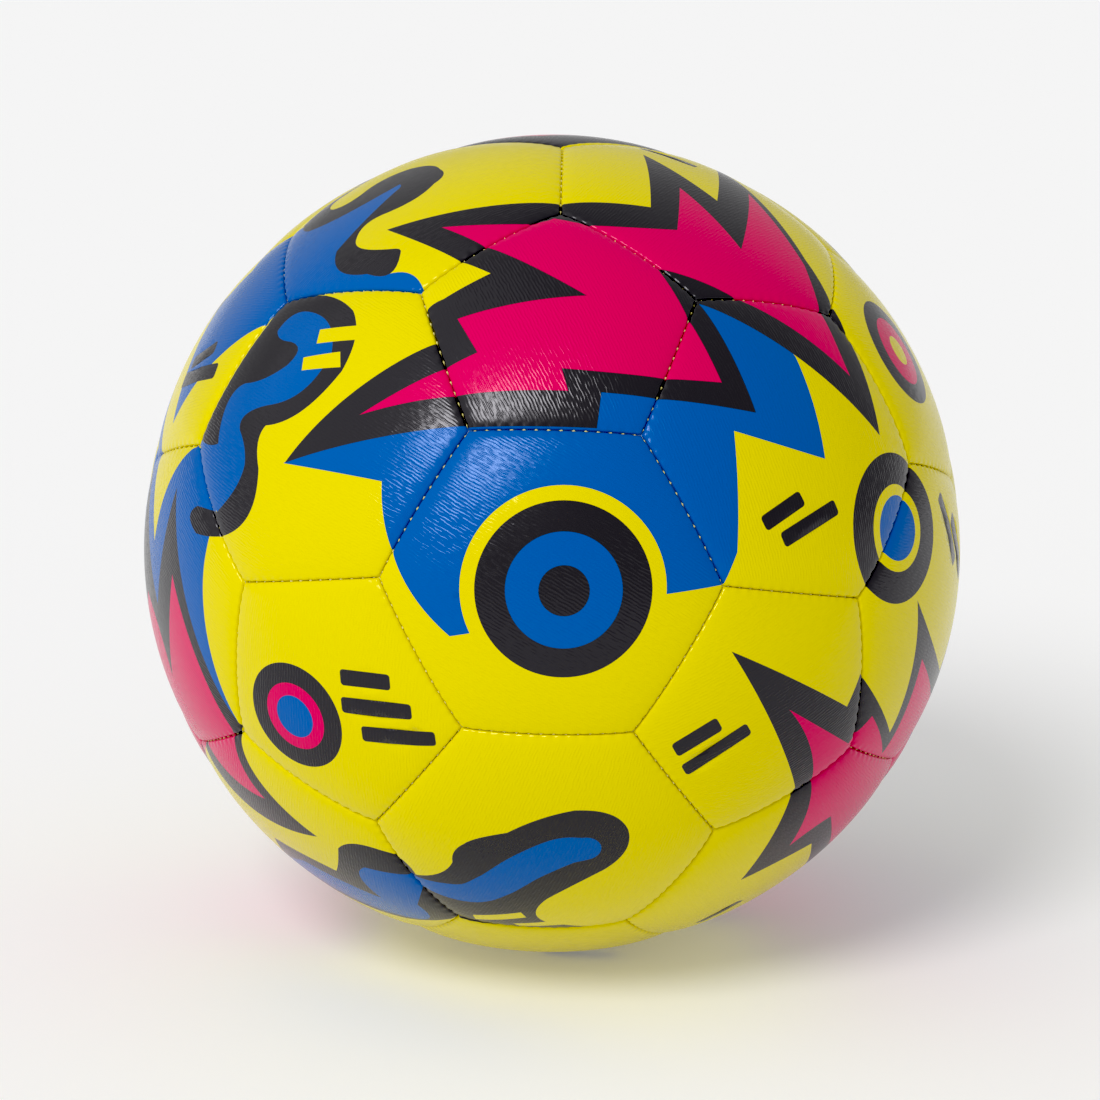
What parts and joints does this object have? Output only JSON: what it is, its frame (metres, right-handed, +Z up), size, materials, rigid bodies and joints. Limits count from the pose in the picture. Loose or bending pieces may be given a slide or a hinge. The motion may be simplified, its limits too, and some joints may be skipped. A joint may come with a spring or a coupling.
{
  "type": "soccer ball",
  "caption": "Sewn soccer ball of hexagon and pentagon panels with a bright zigzag print, foam and cloth backing, and an air bladder with a needle valve.",
  "frame": {"origin": "centre of the ball", "axes": "+Z up as the ball rests, -Y towards the front of the print, +X to the right when the ball is seen from its front"},
  "size_m": [0.2176, 0.2194, 0.217],
  "materials": {
    "printed_cover": "satin printed sheet with a fine embossed grain",
    "seam_thread": "waxed polyester thread",
    "foam": "closed-cell foam",
    "cloth": "woven lining",
    "bladder_rubber": "smooth butyl rubber",
    "valve_rubber": "moulded rubber",
    "valve_plug": "soft silicone-oiled rubber"
  },
  "bodies": {
    "root": {"hexagon_01": "printed_cover", "hexagon_02": "printed_cover", "hexagon_03": "printed_cover", "hexagon_04": "printed_cover", "hexagon_05": "printed_cover", "hexagon_06": "printed_cover", "hexagon_07": "printed_cover", "hexagon_08": "printed_cover", "hexagon_09": "printed_cover", "hexagon_10": "printed_cover", "hexagon_11": "printed_cover", "hexagon_12": "printed_cover", "hexagon_13": "printed_cover", "hexagon_14": "printed_cover", "hexagon_15": "printed_cover", "hexagon_16": "printed_cover", "hexagon_17": "printed_cover", "hexagon_18": "printed_cover", "hexagon_19": "printed_cover", "hexagon_20": "printed_cover", "pentagon_01": "printed_cover", "pentagon_02": "printed_cover", "pentagon_03": "printed_cover", "pentagon_04": "printed_cover", "pentagon_05": "printed_cover", "pentagon_06": "printed_cover", "pentagon_07": "printed_cover", "pentagon_08": "printed_cover", "pentagon_09": "printed_cover", "pentagon_10": "printed_cover", "pentagon_11": "printed_cover", "pentagon_12": "printed_cover", "hexagon_seam_thread": "seam_thread", "pentagon_seam_thread": "seam_thread", "hexagon_foam": "foam", "pentagon_foam": "foam", "hexagon_lining": "cloth", "pentagon_lining": "cloth", "bladder": "bladder_rubber", "valve_housing": "valve_rubber", "valve_core": "valve_plug"}
  },
  "joints": []
}
